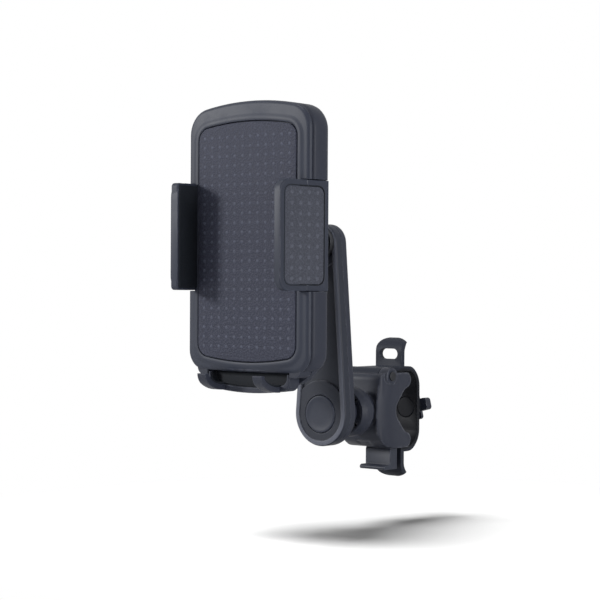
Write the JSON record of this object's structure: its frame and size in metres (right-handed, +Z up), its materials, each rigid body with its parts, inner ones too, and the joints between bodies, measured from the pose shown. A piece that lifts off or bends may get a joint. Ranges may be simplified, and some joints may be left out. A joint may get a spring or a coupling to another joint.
{
  "type": "phone handlebar mount",
  "caption": "Sprung-jaw phone cradle on a ball joint and swivelling arm, with a hinged latch clamp and thumb screw for a 22 mm handlebar.",
  "frame": {"origin": "centre of the handlebar bore, at the middle of the clamp", "axes": "+X along the handlebar, -Y towards the rider and the front of the phone pad, +Z up along the arm"},
  "size_m": [0.0736, 0.1495, 0.1803],
  "materials": {
    "shell": "fine satin moulded grain",
    "dark_shell": "fine satin moulded grain",
    "rubber": "matt rubber with raised dots",
    "steel": "plain zinc plated",
    "nylon": "natural nylon"
  },
  "bodies": {
    "clamp_base": {"clamp_body": "shell", "saddle_pad": "rubber", "yoke_pin": "steel", "latch_pin": "steel", "latch_spring": "steel", "pivot_bolt": "steel", "pivot_nut": "steel"},
    "yoke": {"yoke": "shell"},
    "pressure_pad": {"pressure_pad": "rubber"},
    "thumb_screw": {"clamp_screw": "steel", "clamp_knob": "shell"},
    "latch": {"latch_lever": "shell"},
    "knuckle_ring": {"knuckle_lock_ring": "dark_shell"},
    "arm": {"arm_front_cover": "shell", "arm_rear_shell": "dark_shell", "knuckle_cap": "shell", "arm_screws": "steel", "ball_stud": "dark_shell", "stud_screw": "steel"},
    "liner_inner": {"socket_liner_inner": "nylon"},
    "liner_outer": {"socket_liner_outer": "nylon"},
    "cradle": {"ball_socket": "shell", "rear_housing": "dark_shell", "front_cover": "shell", "cradle_pad": "rubber", "cover_screws": "steel", "socket_screws": "steel", "pinion_pin": "steel", "right_spring": "steel", "left_spring": "steel"},
    "ball_ring": {"ball_lock_ring": "dark_shell"},
    "right_jaw": {"right_jaw": "shell", "right_rack": "nylon", "right_jaw_pad": "rubber", "right_jaw_grip": "rubber"},
    "left_jaw": {"left_jaw": "shell", "left_rack": "nylon", "left_jaw_pad": "rubber", "left_jaw_grip": "rubber"},
    "pinion": {"pinion": "nylon"},
    "foot": {"foot_slide": "shell", "foot_pads": "rubber"}
  },
  "joints": [
    {"name": "yoke_swing", "type": "hinge", "parent": "clamp_base", "child": "yoke", "pos_m": [0, -0.0185, 0.0172], "axis": [1, 0, 0], "range_deg": [0, 50]},
    {"name": "pad_press", "type": "slide", "parent": "yoke", "child": "pressure_pad", "axis": [0, -1, 0], "range_m": [0, 0.0025]},
    {"name": "knob_turn", "type": "hinge", "parent": "pressure_pad", "child": "thumb_screw", "pos_m": [0, 0.02, 0], "axis": [0, -1, 0], "range_deg": [0, 720]},
    {"name": "latch_release", "type": "hinge", "parent": "clamp_base", "child": "latch", "pos_m": [0, -0.009, -0.016], "axis": [-1, 0, 0], "range_deg": [0, 16], "stiffness_Nm_per_rad": 0.02, "springref_deg": -34.38},
    {"name": "knuckle_ring_turn", "type": "hinge", "parent": "clamp_base", "child": "knuckle_ring", "pos_m": [0, -0.035, 0], "axis": [0, -1, 0], "range_deg": [0, 90]},
    {"name": "arm_swivel", "type": "hinge", "parent": "clamp_base", "child": "arm", "pos_m": [0, -0.045, 0], "axis": [0, 1, 0], "continuous": true},
    {"name": "ball_pan", "type": "hinge", "parent": "arm", "child": "liner_inner", "pos_m": [0, -0.079, 0.082], "axis": [0, 0, 1], "range_deg": [-15, 15]},
    {"name": "ball_tilt", "type": "hinge", "parent": "liner_inner", "child": "liner_outer", "pos_m": [0, -0.079, 0.082], "axis": [1, 0, 0], "range_deg": [-15, 15]},
    {"name": "ball_roll", "type": "hinge", "parent": "liner_outer", "child": "cradle", "pos_m": [0, -0.079, 0.082], "axis": [0, 1, 0], "continuous": true},
    {"name": "ball_ring_turn", "type": "hinge", "parent": "cradle", "child": "ball_ring", "pos_m": [0, -0.083, 0.082], "axis": [0, 1, 0], "range_deg": [0, 90]},
    {"name": "right_jaw_slide", "type": "slide", "parent": "cradle", "child": "right_jaw", "axis": [1, 0, 0], "range_m": [0, 0.014], "stiffness_N_per_m": 120, "springref_m": -0.03, "deforming": ["right_spring"]},
    {"name": "left_jaw_slide", "type": "slide", "parent": "cradle", "child": "left_jaw", "axis": [-1, 0, 0], "range_m": [0, 0.014], "stiffness_N_per_m": 120, "springref_m": -0.03, "deforming": ["left_spring"]},
    {"name": "pinion_turn", "type": "hinge", "parent": "cradle", "child": "pinion", "pos_m": [0, -0.1006, 0.084], "axis": [0, 1, 0], "range_deg": [0, 134]},
    {"name": "foot_extend", "type": "slide", "parent": "cradle", "child": "foot", "axis": [0, 0, -1], "range_m": [0, 0.012]}
  ],
  "couplings": [
    {"joint": "knob_turn", "follows": "pad_press", "rad_per_m": 5026.5},
    {"joint": "left_jaw_slide", "follows": "right_jaw_slide", "ratio": 1},
    {"joint": "pinion_turn", "follows": "right_jaw_slide", "rad_per_m": 166.67}
  ]
}
